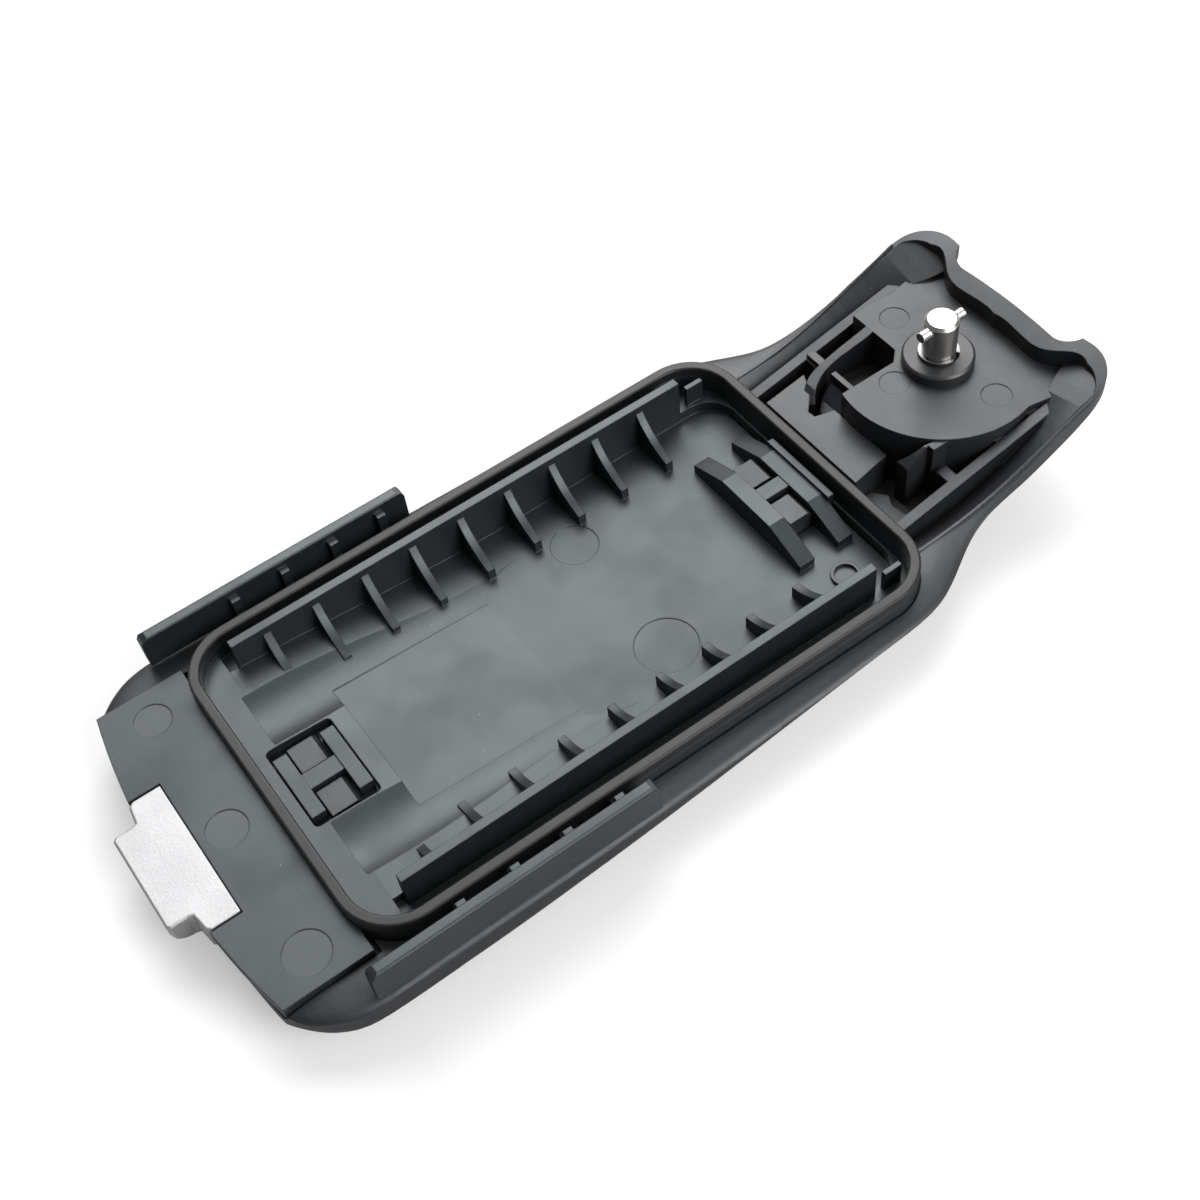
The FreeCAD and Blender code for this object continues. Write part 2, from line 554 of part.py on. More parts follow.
def scalloped_rib(y):
    """rib that holds a cell, +X side"""
    root_x, bottom = RAIL_X + 0.1, FLOOR_Z - 0.2
    angle = math.atan2((SCALLOP_OUT_Z + SCALLOP_TIP_Z) / 2 - SCALLOP_Z,
                       (RAIL_X + RIB_TIP_X) / 2 - SCALLOP_X)
    outer, tip = V(root_x, y, SCALLOP_OUT_Z), V(RIB_TIP_X, y, SCALLOP_TIP_Z)
    middle = V(SCALLOP_X + CRADLE_R * math.cos(angle), y,
               SCALLOP_Z + CRADLE_R * math.sin(angle))
    tip_foot, root_foot = V(RIB_TIP_X, y, bottom), V(root_x, y, bottom)
    face = Part.Face(Part.Wire([line(tip, tip_foot), line(tip_foot, root_foot),
                                line(root_foot, outer), arc(outer, middle, tip)]))
    face.translate(V(0, -RIB_T / 2, 0))
    return face.extrude(V(0, RIB_T, 0))


def flange_plate():
    y0, y1, z = -45.85, RIM_Y0 + 0.5, FLANGE_Z0
    flange = Part.Face(Part.Wire([
        arc(V(-FLANGE_X, y0, z), V(0, -47.75, z), V(FLANGE_X, y0, z)),
        line(V(FLANGE_X, y0, z), V(FLANGE_X, y1, z)),
        line(V(FLANGE_X, y1, z), V(-FLANGE_X, y1, z)),
        line(V(-FLANGE_X, y1, z), V(-FLANGE_X, y0, z))])).extrude(V(0, 0, FLANGE_Z - z))
    flange = flange.cut(rbox(-RIM_INNER_X, RIM_INNER_X, RIM_Y0 + RIM_W, RIM_Y1,
                             RIM_R - RIM_W, 3, 20))
    return flange.cut(box(-NOTCH_X, NOTCH_X, -60, NOTCH_Y, 0, 20))


def guide_rail():
    """side guide rail with its bridges to the rim, +X side"""
    rail = yz_prism([(GUIDE_Y0, 5.75), (GUIDE_Y1, 5.75), (GUIDE_Y1, GUIDE_TOP - 0.7),
                     (GUIDE_Y1 - 0.25, GUIDE_TOP - 0.2), (GUIDE_Y1 - 0.75, GUIDE_TOP),
                     (GUIDE_Y0 + 0.75, GUIDE_TOP), (GUIDE_Y0 + 0.25, GUIDE_TOP - 0.2),
                     (GUIDE_Y0, GUIDE_TOP - 0.7)], GUIDE_X0, GUIDE_X1)
    # cross section with rounded top edges
    outer_r, inner_r = 0.35, 0.2
    outer_mid, inner_mid = outer_r * ARC_MID, inner_r * ARC_MID

    def at(x, z):
        return V(x, -45, z)

    section = Part.Wire([
        line(at(GUIDE_X0, 5.0), at(GUIDE_X1, 5.0)),
        line(at(GUIDE_X1, 5.0), at(GUIDE_X1, GUIDE_TOP - outer_r)),
        arc(at(GUIDE_X1, GUIDE_TOP - outer_r), at(GUIDE_X1 - outer_mid, GUIDE_TOP - outer_mid),
            at(GUIDE_X1 - outer_r, GUIDE_TOP)),
        line(at(GUIDE_X1 - outer_r, GUIDE_TOP), at(GUIDE_X0 + inner_r, GUIDE_TOP)),
        arc(at(GUIDE_X0 + inner_r, GUIDE_TOP), at(GUIDE_X0 + inner_mid, GUIDE_TOP - inner_mid),
            at(GUIDE_X0, GUIDE_TOP - inner_r)),
        line(at(GUIDE_X0, GUIDE_TOP - inner_r), at(GUIDE_X0, 5.0))])
    rail = rail.common(Part.Face(section).extrude(V(0, 45, 0)))
    for y in BRIDGE_Y:
        for x0, top in ((RIM_X - 0.4, 6.85), (RIM_X + 0.9, 8.7)):
            rail = rail.fuse(box(x0, GUIDE_X0 + 0.1, y - 0.45, y + 0.45, 5.52, top))
    return rail


def battery_tray():
    tray = rim_block(0, 3.9, SEAL_Z0).cut(rim_block(RIM_W, 5.0, 20))
    tray = tray.fuse(rim_tongue())
    tray = tray.fuse(rbox(*TRAY_FOOT, FLOOR_Z - FLOOR_T, 4.6))
    tray = tray.cut(rbox(-RAIL_X, RAIL_X, -36.2, 22.8, 3.2, FLOOR_Z, 20))
    for rail in both_sides(box(RAIL_X, RAIL_X + RAIL_W, RAIL_Y0, RAIL_Y1,
                               FLOOR_Z - 0.2, RAIL_TOP)):
        tray = tray.fuse(rail)
    tray = tray.fuse(raised_floor())
    for y in RIB_Y:
        rib = scalloped_rib(y)
        tray = tray.fuse(rib).fuse(mirror_x(rib))
    # hook-end H frame in its own pocket
    tray = tray.cut(rbox(-4.75, 4.75, -35.35, -28.7, 0.5, 4.6, 9))
    tray = tray.fuse(fuse(box(-3.6, 3.6, -35.15, -33.75, 4.5, 6.1),
                          box(-3.6, 3.6, -30.3, -28.9, 4.5, 6.1),
                          box(-0.9, 0.9, -33.8, -30.2, 4.5, 5.95)))
    # latch-end H frame with sloping legs
    tray = tray.fuse(fuse(xz_prism(H_LEG, 15.4, 17.2), xz_prism(H_LEG, 20.1, 21.9),
                          box(-0.8, 0.8, 17.1, 20.2, 3.7, 6.4),
                          box(-4.6, 4.6, 21.8, 22.5, 3.7, 6.85)))
    # windows for the snap tongues
    for y, half_length, inner, outer, _ in TONGUES:
        reach = half_length + WINDOW_GAP
        for side in (-1, 1):
            x0, x1 = sorted((side * (inner - WINDOW_GAP), side * (outer + WINDOW_GAP)))
            tray = tray.cut(box(x0, x1, y - reach, y + reach, 2.0, 7.5))
    tray = tray.fuse(flange_plate())
    for rail in both_sides(guide_rail()):
        tray = tray.fuse(rail)
    # narrow step strip inside the rim on the +X side
    tray = fuse(tray, box(RIM_INNER_X - 0.45, RIM_INNER_X + 0.05, -27.5, -8.5, 4.9, 6.6))
    for x, y, z, radius in TRAY_MARKS:
        tray = tray.cut(cylinder(radius, z - 0.07, z + 0.2, x, y))
    # short low ribs near the latch end, just outside the inner faces of the rails
    for rib in both_sides(box(14.8, 15.3, 19.6, 21.6, 3.9, 7.4)):
        tray = tray.fuse(rib)
    # small raised ring on the floor
    ring_x, ring_y = 11.1, 18.6
    ring = cylinder(1.45, FLOOR_Z - 0.1, FLOOR_Z + 0.35, ring_x, ring_y)
    tray = tray.fuse(ring.cut(cylinder(1.1, FLOOR_Z, 9, ring_x, ring_y)))
    for x, y in TAB_SCREW:
        tray = tray.cut(cylinder(SCREW_HOLE_R, 4, 5.7, x, y))
    return tray


def rim_seal():
    seal = rim_block(0, SEAL_Z0, RIM_TOP).cut(rim_block(RIM_W, 5.0, 20))
    seal = try_fillet(seal, edges_above(seal, RIM_TOP), [0.24, 0.2, 0.15])
    return seal.cut(rim_tongue())


# ================================================================ hook tab
def hook_tab():
    half = [(-TAB_W1, TAB_Y0), (-TAB_W1, TAB_Y1 + 0.3), (-TAB_W1 + 0.3, TAB_Y1),
            (-TAB_W2 - 0.15, TAB_Y1 - 0.25), (-TAB_W2, TAB_Y1 - 0.7),
            (-TAB_W2, TAB_Y2 + 0.3), (-TAB_W2 + 0.3, TAB_Y2)]
    tab = prism(symmetric(half), TAB_BOT, FLANGE_Z)
    # the lower outboard edge is rounded off
    radius, arc_inset, margin = 1.9, 0.56, 1

    def at(dy, dz):
        return V(-9, TAB_Y2 + dy, TAB_BOT + dz)

    profile = Part.Wire([line(at(-margin, -margin), at(radius, -margin)),
                         line(at(radius, -margin), at(radius, 0)),
                         arc(at(radius, 0), at(arc_inset, arc_inset), at(0, radius)),
                         line(at(0, radius), at(-margin, radius)),
                         line(at(-margin, radius), at(-margin, -margin))])
    tab = tab.cut(Part.Face(profile).extrude(V(18, 0, 0)))
    top_edges = [e for e in edges_above(tab, FLANGE_Z) if e.BoundBox.YMax < TAB_Y0 - 0.05]
    tab = try_fillet(tab, top_edges, [0.22, 0.15])
    tab = fuse(tab, box(-6.0, 6.0, TAB_Y0 - 0.05, -38.8, 3.0, 4.62))
    for x, y in TAB_SCREW:
        tab = tab.cut(cylinder(0.85, 0, 9, x, y))
    return tab


# ================================================================ back plate and screws
def back_plate():
    plate = rbox(-PLATE_X, PLATE_X, PLATE_Y0, PLATE_Y1, 1.9, 0.0, 0.97)
    plate = try_chamfer(plate, edges_below(plate, 0), 0.35)
    hole_r, sink_r = 1.0, 1.80
    for x, y in TAB_SCREW + PLATE_SCREW:
        hole = Part.makeCone(sink_r, hole_r, 0.88, V(x, y, 0.09))
        hole = hole.fuse(cylinder(sink_r, -1, 0.1, x, y)).fuse(cylinder(hole_r, 0, 3, x, y))
        plate = plate.cut(hole)
    return plate


def countersunk_screws(places, top, radius):
    screws = []
    for x, y in places:
        head = Part.makeCone(1.75, radius, 0.85, V(x, y, 0.12))
        recess = Part.makeCone(0.75, 0.3, 0.55, V(x, y, 0.1))
        screw = cylinder(radius, 0.12, top, x, y).fuse(head)
        screws.append(screw.cut(recess).removeSplitter())
    return Part.makeCompound(screws)


def threaded_inserts():
    inserts = []
    for x, y in PLATE_SCREW:
        groove = cylinder(INSERT_R + 1, 2.15, 2.55, x, y)
        groove = groove.cut(cylinder(INSERT_R - 0.12, 0, 9, x, y))
        insert = cylinder(INSERT_R, 1.02, INSERT_TOP, x, y).cut(groove)
        inserts.append(insert.cut(cylinder(0.8, 0, 9, x, y)))
    return Part.makeCompound(inserts)


# ================================================================ quarter-turn latch
def cross_pin_blank(half_length):
    return rod_y(PIN_R, LATCH_Y - half_length, LATCH_Y + half_length, 0, PIN_Z)


def ring_pin(half_length=RING_PIN_X, radius=RING_PIN_R):
    return rod_x(radius, -half_length, half_length, LATCH_Y, RING_Z)


def latch_shaft():
    shaft = fuse(cylinder(FOOT_R, 1.95, 4.2), cylinder(STEM_R, KNOB_Z1, 7.3),
                 cylinder(SHAFT_R, 7.2, SHAFT_TOP))
    shaft = try_chamfer(shaft, edges_above(shaft, SHAFT_TOP), 0.3)
    shaft = shaft.cut(cylinder(SHAFT_R + 1, *CLIP_GROOVE).cut(cylinder(1.32, 11, 12)))
    shaft = shaft.cut(cylinder(SHAFT_R + 1, *O_RING_GROOVE).cut(cylinder(1.25, 9, 10)))
    return shaft.cut(cross_pin_blank(5)).cut(ring_pin(4))


def cross_pin():
    pin = cross_pin_blank(PIN_L / 2)
    return try_fillet(pin, [e for e in pin.Edges if e.Length < 4.5], [0.12, 0.08])


def shaft_bush():
    bush = cylinder(HUB_R, HOUSING_TOP, HUB_TOP)
    bush = bush.fuse(cylinder(BUSH_R, DECK_BOT, HOUSING_TOP + 0.1))
    bush = bush.cut(cylinder(BORE_R, 5, 20)).removeSplitter()
    return try_chamfer(bush, edges_above(bush, HUB_TOP), 0.22)


def shaft_o_ring():
    return Part.makeTorus(1.49, 0.235, V(LATCH_X, LATCH_Y, sum(O_RING_GROOVE) / 2), V(0, 0, 1))


def retaining_clip():
    clip = cylinder(2.05, 11.28, 11.62).cut(cylinder(1.34, 11, 12))
    # gap in the ring, then two small holes
    clip = clip.cut(prism([(0, LATCH_Y), (4.5, LATCH_Y + 0.2), (4.5, LATCH_Y + 3.4)], 11, 12))
    for x, dy in ((-1.5, 0.85), (0.25, -1.7)):
        clip = clip.cut(cylinder(0.16, 11, 12, x, LATCH_Y + dy))
    return clip


def disc_spring():
    """conical disc spring under the deck"""
    inner, outer, thickness = (1.85, 7.62), (3.25, 7.34), 0.3     # r, z of the lower face
    corners = [V(inner[0], 0, inner[1]), V(outer[0], 0, outer[1]),
               V(outer[0], 0, outer[1] + thickness), V(inner[0], 0, inner[1] + thickness)]
    profile = Part.Face(Part.makePolygon(corners + corners[:1]))
    spring = profile.revolve(V(0, 0, 0), V(0, 0, 1), 360)
    spring.translate(V(LATCH_X, LATCH_Y, 0))
    return spring


def thrust_washer():
    return cylinder(3.35, 8.05, 8.45).cut(cylinder(1.82, 7, 9))


def latch_knob():
    knob = cylinder(KNOB_R, KNOB_Z0, KNOB_Z1)
    knob = try_fillet(knob, edges_below(knob, KNOB_Z0), [0.6, 0.4])
    return knob.cut(cylinder(FOOT_R, 1.9, 6)).cut(ring_pin(9))


def d_ring():
    wire = Part.makeCircle(RING_WIRE, V(RING_R, LATCH_Y, RING_Z), V(0, 1, 0))
    bow = Part.Face(Part.Wire(wire)).revolve(V(LATCH_X, LATCH_Y, 0), V(0, 0, 1), -180)
    lugs = rod_x(LUG_R, LUG_X0, RING_PIN_X, LATCH_Y, RING_Z)
    lugs = lugs.fuse(rod_x(LUG_R, -RING_PIN_X, -LUG_X0, LATCH_Y, RING_Z))
    return bow.fuse(lugs).cut(ring_pin(12, RING_EYE_R)).removeSplitter()


# ================================================================ files
export("outer_shell", outer_shell())
export("battery_tray", battery_tray())
export("rim_seal", rim_seal())
export("hook_tab", hook_tab())
export("back_plate", back_plate())
export("tab_screws", countersunk_screws(TAB_SCREW, top=5.5, radius=0.85))
export("plate_screws", countersunk_screws(PLATE_SCREW, top=3.55, radius=0.8))
export("threaded_inserts", threaded_inserts())
export("latch_shaft", latch_shaft())
export("cross_pin", cross_pin())
export("shaft_bush", shaft_bush())
export("shaft_o_ring", shaft_o_ring())
export("retaining_clip", retaining_clip())
export("disc_spring", disc_spring())
export("thrust_washer", thrust_washer())
export("latch_knob", latch_knob())
export("ring_pin", ring_pin())
export("d_ring", d_ring())
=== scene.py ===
# A battery tray with its outer shell, seals, hook tab and a ring-handled latch.
# Units are metres with +Z up. The pieces come from the CAD, with the floor just below z = 0.
# This script gives them materials, then adds the floor, the lights and the camera.
import bpy
import bmesh
from mathutils import Vector, Matrix

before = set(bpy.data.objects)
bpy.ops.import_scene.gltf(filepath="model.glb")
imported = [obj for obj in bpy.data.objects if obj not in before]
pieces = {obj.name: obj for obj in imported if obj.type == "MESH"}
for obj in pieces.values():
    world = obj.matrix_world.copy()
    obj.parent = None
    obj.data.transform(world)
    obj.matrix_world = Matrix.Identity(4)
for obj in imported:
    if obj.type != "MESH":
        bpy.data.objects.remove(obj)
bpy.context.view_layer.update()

scene = bpy.context.scene


# ------------------------------------------------------------------ node helpers
class Graph:
    """An emptied node tree, and a short way to add nodes to it."""

    def __init__(self, tree):
        self.tree = tree
        tree.nodes.clear()

    def node(self, kind, inputs=None, **settings):
        """Add a node; each input takes either a value or another node's output."""
        made = self.tree.nodes.new("ShaderNode" + kind)
        for name, value in settings.items():
            setattr(made, name, value)
        for key, value in (inputs or {}).items():
            if isinstance(value, bpy.types.NodeSocket):
                self.tree.links.new(value, made.inputs[key])
            else:
                made.inputs[key].default_value = value
        return made


class Material(Graph):
    """A node material textured in object coordinates."""

    def __init__(self, name):
        self.material = bpy.data.materials.new(name)
        self.material.use_nodes = True
        super().__init__(self.material.node_tree)
        self.coords = self.node("TexCoord").outputs["Object"]

    # arithmetic
    def math(self, operation, a, b=0.0, clamp=False):
        made = self.node("Math", {0: a, 1: b}, operation=operation, use_clamp=clamp)
        return made.outputs[0]

    def mul(self, a, b, clamp=False):
        return self.math("MULTIPLY", a, b, clamp)

    def add_scaled(self, value, mask, amount):
        """value + mask * amount"""
        return self.math("ADD", value, self.mul(mask, amount))

    def map_range(self, value, from_min=0.0, from_max=1.0):
        """Map the given range to 0..1."""
        inputs = {"Value": value, "From Min": from_min, "From Max": from_max}
        return self.node("MapRange", inputs).outputs[0]

    # colour
    def mix(self, factor, a, b):
        return self.node("Mix", {0: factor, 6: a, 7: b}, data_type="RGBA").outputs[2]

    def cover(self, colour, over, mask, strength):
        """Lay the colour `over` on top where the mask is high."""
        return self.mix(self.mul(mask, strength), colour, over)

    # textures, with sizes in metres
    def mapping(self, scale=(1, 1, 1), turn=0.0, shift=(0, 0, 0)):
        inputs = {"Vector": self.coords, "Scale": scale, "Rotation": (0, 0, turn),
                  "Location": shift}
        return self.node("Mapping", inputs).outputs[0]

    def noise(self, size, detail=2.0, rough=0.5, vector=None):
        """Noise in 0..1 with features about `size` across."""
        inputs = {"Scale": 1.0 / size, "Detail": detail, "Roughness": rough,
                  "Vector": vector or self.coords}
        return self.node("TexNoise", inputs).outputs[0]

    def cells(self, size):
        """Distance to the nearest of points scattered about `size` apart."""
        inputs = {"Scale": 1.0 / size, "Vector": self.coords}
        return self.node("TexVoronoi", inputs).outputs["Distance"]

    # masks
    def rounded(self, radius):
        """The normal with edges rounded off."""
        return self.node("Bevel", {"Radius": radius}, samples=4).outputs[0]

    def edges(self, rounded_normal):
        """1 on convex and concave edges, 0 on open faces."""
        normal = self.node("NewGeometry").outputs["Normal"]
        dot = self.node("VectorMath", {0: rounded_normal, 1: normal}, operation="DOT_PRODUCT")
        bend = self.math("SUBTRACT", 1.0, dot.outputs["Value"], clamp=True)
        return self.mul(bend, 4.0, clamp=True)

    def disc(self, x, y, radius, soft=0.00008):
        """1 inside a circle about (x, y), seen from above."""
        position = self.node("SeparateXYZ", {0: self.coords})
        dx = self.math("SUBTRACT", position.outputs[0], x)
        dy = self.math("SUBTRACT", position.outputs[1], y)
        distance = self.math("SQRT", self.math("ADD", self.mul(dx, dx), self.mul(dy, dy)))
        return self.map_range(distance, from_min=radius + soft, from_max=radius - soft)

    def specks(self, spacing, radius, patch, detail, shift, threshold):
        """Small spots, kept only in patches; `radius` is a share of the spacing."""
        spots = self.math("LESS_THAN", self.cells(spacing), radius)
        field = self.noise(patch, detail=detail, vector=self.mapping(shift=shift))
        return self.mul(spots, self.math("GREATER_THAN", field, threshold))

    def scratches(self, angle, width, length, threshold):
        """Thin broken lines running at one angle (radians about Z)."""
        unit = 0.001
        along = 1.0 / length * unit
        across = 1.0 / width * unit
        stretched = self.mapping(scale=(along, across, along), turn=angle)
        field = self.noise(unit, detail=1.0, vector=stretched)
        lines = self.math("GREATER_THAN", field, threshold)
        gaps = self.noise(0.006, detail=1.0, vector=self.mapping(shift=(angle, 0.3, 0)))
        return self.mul(lines, self.math("GREATER_THAN", gaps, 0.52))

    # results
    def bump(self, height, strength, distance, normal=None):
        inputs = {"Strength": strength, "Distance": distance, "Height": height}
        if normal is not None:
            inputs["Normal"] = normal
        return self.node("Bump", inputs).outputs[0]

    def principled(self, base, rough, normal, **more):
        """`more` may hold metal, spec, tint, sheen and sheen_rough."""
        sockets = {"metal": "Metallic", "spec": "Specular IOR Level", "tint": "Specular Tint",
                   "sheen": "Sheen Weight", "sheen_rough": "Sheen Roughness"}
        inputs = {"Base Color": base, "Roughness": rough, "Normal": normal}
        inputs.update({sockets[name]: value for name, value in more.items()})
        return self.node("BsdfPrincipled", inputs).outputs["BSDF"]

    def finish(self, shader):
        self.node("OutputMaterial", {"Surface": shader})
        return self.material


def rgb(r, g, b):
    return (r, g, b, 1.0)


def scaled(colour, factor):
    return rgb(*(channel * factor for channel in colour))


# ------------------------------------------------------------------ kinds of material
def plastic(name, base, rough, grain=0.00022, grain_depth=0.000012, dust=0.5, spec=0.5,
            tint=(1.0, 1.0, 1.0), pin_marks=(), smudge=0.0, scuffs=0.0):
    """Dark moulded plastic: spark-eroded grain, mottling, scuffed edges, a little dust."""
    m = Material(name)
    normal = m.rounded(0.00014)
    grains = m.noise(grain, detail=3.0, rough=0.6)
    height = m.add_scaled(m.mul(grains, 0.7), m.cells(grain * 1.6), 0.5)

    # soft mottling, with paler grain tops
    mottling = m.map_range(m.noise(0.007, detail=3.0, rough=0.55))
    colour = m.mix(mottling, scaled(base, 0.90), scaled(base, 1.12))
    colour = m.cover(colour, scaled(base, 1.35), grains, strength=0.35)

    # worn, paler edges, broken up by noise
    wear = m.mul(m.edges(normal), m.mul(m.noise(0.0012, detail=3.0, rough=0.6), 0.55))
    colour = m.mix(wear, colour, scaled(base, 2.2))

    # sparse pale dust, then finer and thinner dust
    coarse = m.specks(spacing=0.0013, radius=0.045, patch=0.0042, detail=0.0,
                      shift=(0.013, 0.021, 0.0), threshold=0.60)
    colour = m.cover(colour, rgb(0.32, 0.33, 0.34), coarse, strength=dust)
    fine = m.specks(spacing=0.00062, radius=0.07, patch=0.0021, detail=1.0,
                    shift=(0.31, 0.07, 0.0), threshold=0.58)
    colour = m.cover(colour, rgb(0.22, 0.23, 0.24), fine, strength=dust * 0.6)

    # uneven roughness, smoother where worn
    roughness = m.add_scaled(rough - 0.05, m.noise(0.003, detail=4.0, rough=0.6), 0.10)
    roughness = m.add_scaled(roughness, wear, -0.08)

    # round ejector pin marks: paler and a touch rougher than the face around them
    if pin_marks:
        marks = None
        for mark in pin_marks:
            disc = m.disc(*(millimetres / 1000.0 for millimetres in mark))
            marks = disc if marks is None else m.math("MAXIMUM", marks, disc)
        colour = m.cover(colour, rgb(0.052, 0.055, 0.058), marks, strength=0.55)
        roughness = m.add_scaled(roughness, marks, 0.06)

    # cloudy handling marks
    if smudge:
        clouds = m.noise(0.0085, rough=0.45, vector=m.mapping(shift=(0.05, 0.11, 0.0)))
        clouds = m.mul(m.math("SUBTRACT", clouds, 0.5, clamp=True), 6.0, clamp=True)
        roughness = m.add_scaled(roughness, clouds, smudge)

    # two sets of crossing scratches
    if scuffs:
        lines = m.math("MAXIMUM",
                       m.scratches(angle=0.5, width=0.00006, length=0.0035, threshold=0.70),
                       m.scratches(angle=-0.9, width=0.00005, length=0.0028, threshold=0.71))
        colour = m.cover(colour, rgb(0.16, 0.165, 0.17), lines, strength=scuffs)

    bump = m.bump(height, strength=0.55, distance=grain_depth, normal=normal)
    return m.finish(m.principled(colour, roughness, bump, spec=spec, tint=rgb(*tint)))


def blasted_metal(name, base, rough):
    """Bead-blasted metal with brighter, smoother edges."""
    m = Material(name)
    normal = m.rounded(0.00018)
    edges = m.edges(normal)
    grains = m.noise(0.00016, detail=4.0, rough=0.65)
    patches = m.noise(0.004, detail=3.0)
    colour = m.mix(grains, scaled(base, 0.72), scaled(base, 1.16))
    colour = m.cover(colour, scaled(base, 0.90), patches, strength=0.5)
    colour = m.cover(colour, scaled(base, 1.30), edges, strength=0.6)
    roughness = m.add_scaled(rough - 0.08, patches, 0.16)
    roughness = m.math("SUBTRACT", roughness, m.mul(edges, 0.12))
    height = m.add_scaled(grains, m.cells(0.00028), 0.8)
    bump = m.bump(height, strength=0.6, distance=0.000010, normal=normal)
    return m.finish(m.principled(colour, roughness, bump, metal=0.80))


def turned_metal(name, base, rough, axis="Z"):
    """Plated metal with fine turning marks round the axis and a few scratches."""
    m = Material(name)
    index = "XYZ".index(axis)
    along = m.node("SeparateXYZ", {0: m.coords}).outputs[index]
    turning = m.node("TexNoise", {"Scale": 1.0 / 0.00012, "Detail": 3.0, "W": along},
                     noise_dimensions="1D").outputs[0]
    # scratches drawn out across the axis
    stretch = [0.12, 0.12, 0.12]
    stretch[index] = 1.0
    scratches = m.noise(0.00045, detail=3.0, rough=0.6, vector=m.mapping(scale=stretch))
    patches = m.mul(m.noise(0.0018), 0.48, clamp=True)
    colour = m.mix(patches, scaled(base, 0.88), scaled(base, 1.05))
    roughness = m.add_scaled(rough - 0.05, scratches, 0.14)
    height = m.add_scaled(m.mul(turning, 0.6), scratches, 0.6)
    bump = m.bump(height, strength=0.5, distance=0.000006, normal=m.rounded(0.0001))
    return m.finish(m.principled(colour, roughness, bump, metal=1.0))


def rubber(name, base, rough):
    """Fine-grained black rubber with a faint sheen."""
    m = Material(name)
    normal = m.rounded(0.00012)
    patches = m.noise(0.0022, detail=3.0, rough=0.55)
    colour = m.mix(patches, scaled(base, 0.85), scaled(base, 1.18))
    colour = m.cover(colour, scaled(base, 1.7), m.edges(normal), strength=0.25)
    roughness = m.add_scaled(rough - 0.05, patches, 0.1)
    grains = m.noise(0.00018, detail=3.0, rough=0.6)
    bump = m.bump(grains, strength=0.4, distance=0.000006, normal=normal)
    return m.finish(m.principled(colour, roughness, bump, sheen=0.05, sheen_rough=0.4,
                                 spec=0.34))


# ------------------------------------------------------------------ materials of the pieces
def assign(material, *names):
    """Make this the only material of the named pieces."""
    for name in names:
        mesh = pieces[name].data
        mesh.materials.clear()
        mesh.materials.append(material)
        for polygon in mesh.polygons:
            polygon.material_index = 0


# ejector pin marks in millimetres: x, y, radius
SHELL_MARKS = ((-7.2, 40.3, 1.5), (-0.5, 34.4, 1.5), (7.0, 40.8, 1.5))
TRAY_MARKS = ((-14.2, -41.75, 1.8), (0.0, -41.6, 1.95), (14.4, -41.75, 2.15),
              (-8.2, 0.7, 2.4), (6.9, 0.6, 3.1))

assign(plastic("shell_plastic", base=(0.0110, 0.0120, 0.0135), rough=0.45, grain=0.00024,
               grain_depth=0.000016, spec=0.56, tint=(0.96, 0.98, 1.0),
               pin_marks=SHELL_MARKS, smudge=0.05),
       "outer_shell")
assign(plastic("tray_plastic", base=(0.0105, 0.0130, 0.0145), rough=0.40, grain=0.00020,
               grain_depth=0.000008, spec=0.56, tint=(0.88, 0.97, 1.0),
               pin_marks=TRAY_MARKS, smudge=0.07, scuffs=0.07),
       "battery_tray")
assign(plastic("plate_plastic", base=(0.018, 0.019, 0.021), rough=0.50, grain=0.00030,
               grain_depth=0.000020),
       "back_plate")
assign(plastic("bush_plastic", base=(0.017, 0.0185, 0.0205), rough=0.40, grain=0.00018,
               grain_depth=0.000005, dust=0.2),
       "shaft_bush", "thrust_washer")
assign(rubber("seal_rubber", base=(0.0105, 0.0112, 0.0122), rough=0.44),
       "rim_seal", "shaft_o_ring")
assign(blasted_metal("tab_metal", base=(0.41, 0.41, 0.415), rough=0.50), "hook_tab")

# turned metals: material, base colour, roughness, turning axis, pieces
TURNED_METALS = (
    ("latch_steel", (0.60, 0.575, 0.54), 0.30, "Z", ("latch_shaft",)),
    ("cross_pin_steel", (0.66, 0.64, 0.605), 0.26, "Y", ("cross_pin",)),
    ("ring_pin_steel", (0.62, 0.61, 0.59), 0.25, "X", ("ring_pin",)),
    ("ring_steel", (0.60, 0.60, 0.60), 0.27, "Z", ("d_ring",)),
    ("clip_steel", (0.22, 0.22, 0.23), 0.34, "Z", ("retaining_clip", "disc_spring")),
    ("screw_steel", (0.30, 0.305, 0.32), 0.30, "Z", ("tab_screws", "plate_screws")),
    ("insert_brass", (0.62, 0.44, 0.18), 0.30, "Z", ("threaded_inserts",)),
)
for name, base, rough, axis, names in TURNED_METALS:
    assign(turned_metal(name, base, rough, axis), *names)

assign(plastic("knob_coat", base=(0.014, 0.0145, 0.016), rough=0.34, grain=0.00028,
               grain_depth=0.000010, spec=0.6),
       "latch_knob")


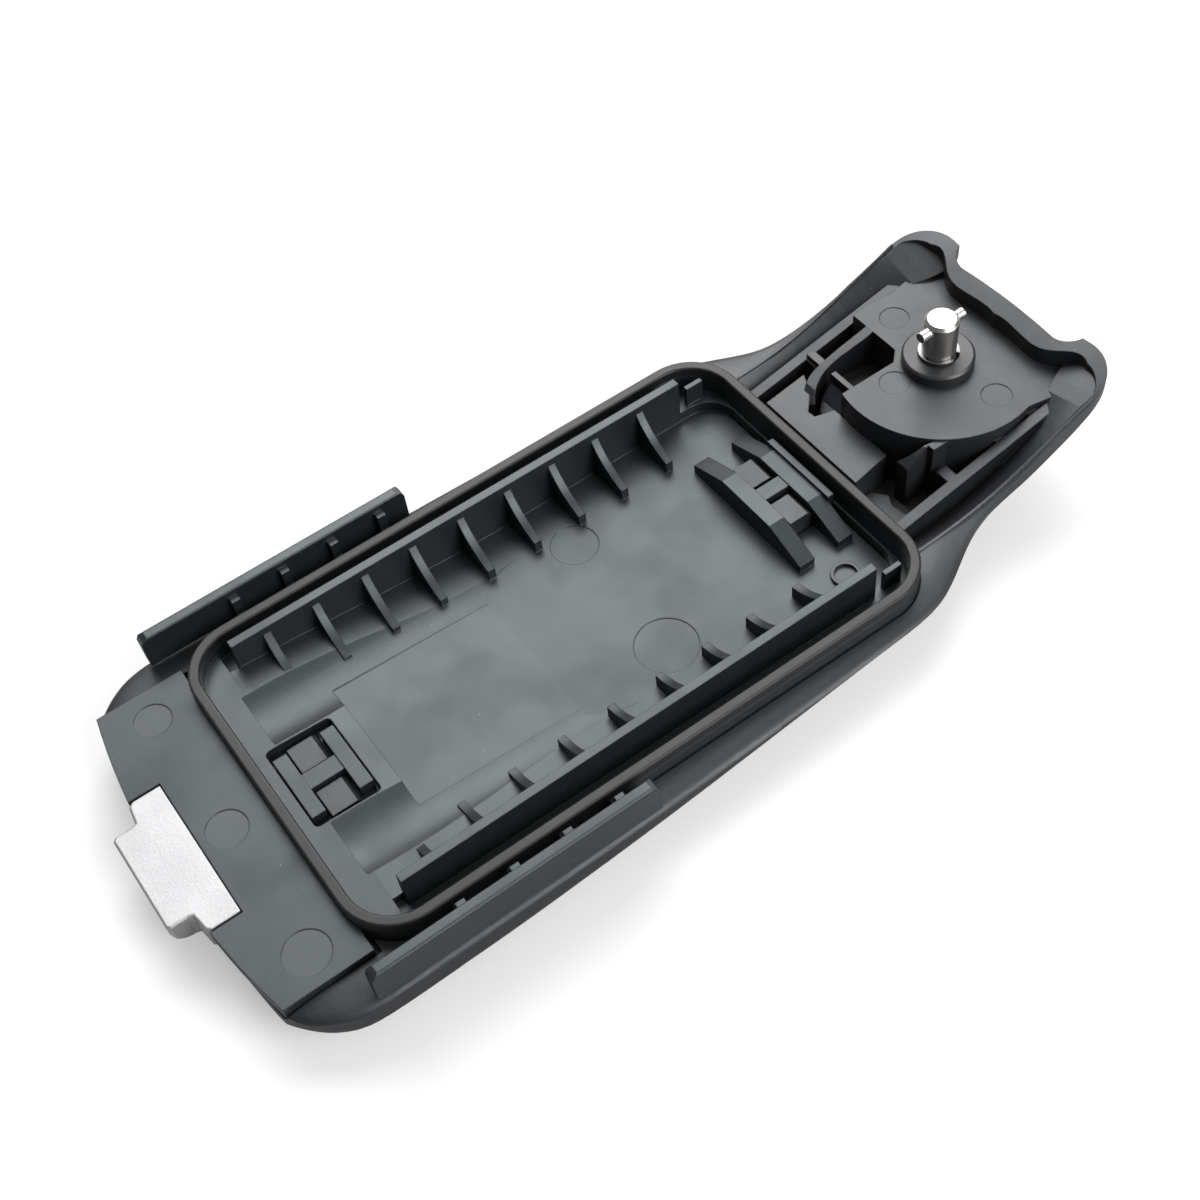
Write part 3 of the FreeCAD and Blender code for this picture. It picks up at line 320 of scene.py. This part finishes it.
# ------------------------------------------------------------------ floor
def floor_paper():
    """Pale paper, lifted for the camera, clear from below and to shadow rays."""
    m = Material("floor_paper")
    fibres = m.noise(0.02, detail=3.0)
    rays = m.node("LightPath").outputs
    seen = rays["Is Camera Ray"]
    paper = m.mix(fibres, rgb(0.475, 0.475, 0.477), rgb(0.485, 0.485, 0.485))
    bounce = m.mix(fibres, rgb(0.43, 0.43, 0.435), rgb(0.45, 0.45, 0.45))
    bump = m.bump(m.noise(0.0006), strength=0.05, distance=0.00002)
    surface = m.principled(m.mix(seen, bounce, paper), 0.75, bump, spec=0.1)
    glow = m.node("Emission", {"Color": rgb(1.0, 1.0, 1.0), "Strength": m.mul(seen, 0.40)})
    lit = m.node("AddShader", {0: surface, 1: glow.outputs[0]}).outputs[0]
    backfacing = m.node("NewGeometry").outputs["Backfacing"]
    unseen = m.math("MAXIMUM", backfacing, rays["Is Shadow Ray"])
    clear = m.node("BsdfTransparent").outputs[0]
    return m.finish(m.node("MixShader", {0: unseen, 1: lit, 2: clear}).outputs[0])


def add_floor(half_width=2.5, segments=8, drop=0.0001):
    grid = bmesh.new()
    bmesh.ops.create_grid(grid, x_segments=segments, y_segments=segments, size=half_width)
    mesh = bpy.data.meshes.new("floor")
    grid.to_mesh(mesh)
    grid.free()
    floor = bpy.data.objects.new("floor", mesh)
    scene.collection.objects.link(floor)
    floor.location.z = -drop
    mesh.materials.append(floor_paper())


# ------------------------------------------------------------------ world, lights, camera
def set_world():
    """White behind the scene, with a weak cool ambient light on the pieces."""
    world = scene.world or bpy.data.worlds.new("studio")
    scene.world = world
    world.use_nodes = True
    graph = Graph(world.node_tree)
    seen = graph.node("LightPath").outputs["Is Camera Ray"]
    ambient = graph.node("Background", {"Color": rgb(0.93, 0.96, 1.0), "Strength": 0.17})
    backdrop = graph.node("Background", {"Color": rgb(1.0, 1.0, 1.0), "Strength": 1.0})
    mixed = graph.node("MixShader", {0: seen, 1: ambient.outputs[0], 2: backdrop.outputs[0]})
    graph.node("OutputWorld", {"Surface": mixed.outputs[0]})


def area_light(name, location, size, power):
    """A square light aimed at the origin."""
    data = bpy.data.lights.new(name, "AREA")
    data.energy = power
    data.shape = "SQUARE"
    data.size = size
    light = bpy.data.objects.new(name, data)
    light.location = location
    light.rotation_euler = (-Vector(location)).to_track_quat("-Z", "Y").to_euler()
    scene.collection.objects.link(light)


def add_camera():
    """Looks down from +X and -Y."""
    data = bpy.data.cameras.new("camera")
    data.sensor_fit = "HORIZONTAL"
    data.sensor_width = 36.0
    data.lens = 50.694
    data.clip_start = 0.001
    data.clip_end = 20.0
    camera = bpy.data.objects.new("camera", data)
    scene.collection.objects.link(camera)
    # the camera's own axes in world space
    right = Vector((0.5791964, 0.8111034, -0.0815028))
    up = Vector((-0.6278072, 0.5076013, 0.5900840))
    back = Vector((0.5199900, -0.2906065, 0.8032174))
    place = Vector((0.0821648, -0.0478297, 0.1326097))
    turn = Matrix((right, up, back)).transposed().to_4x4()
    camera.matrix_world = Matrix.Translation(place) @ turn
    scene.camera = camera


add_floor()
set_world()
# a large box opposite the camera, mirrored to it by the upward faces
area_light("softbox", location=(-0.44, 0.26, 0.56), size=0.64, power=8.8)
area_light("top", location=(0.05, 0.10, 0.85), size=0.60, power=0.9)
# a weak box under the floor, for views from below
area_light("under", location=(0.06, -0.04, -0.55), size=0.60, power=1.5)
# a box out on +X and +Y, mirrored by the faces that lean towards the camera
area_light("side", location=(0.52, 0.22, 0.40), size=0.44, power=5.2)
add_camera()

scene.view_settings.view_transform = "Standard"
scene.view_settings.look = "None"
scene.view_settings.exposure = 0.0
scene.view_settings.gamma = 1.0
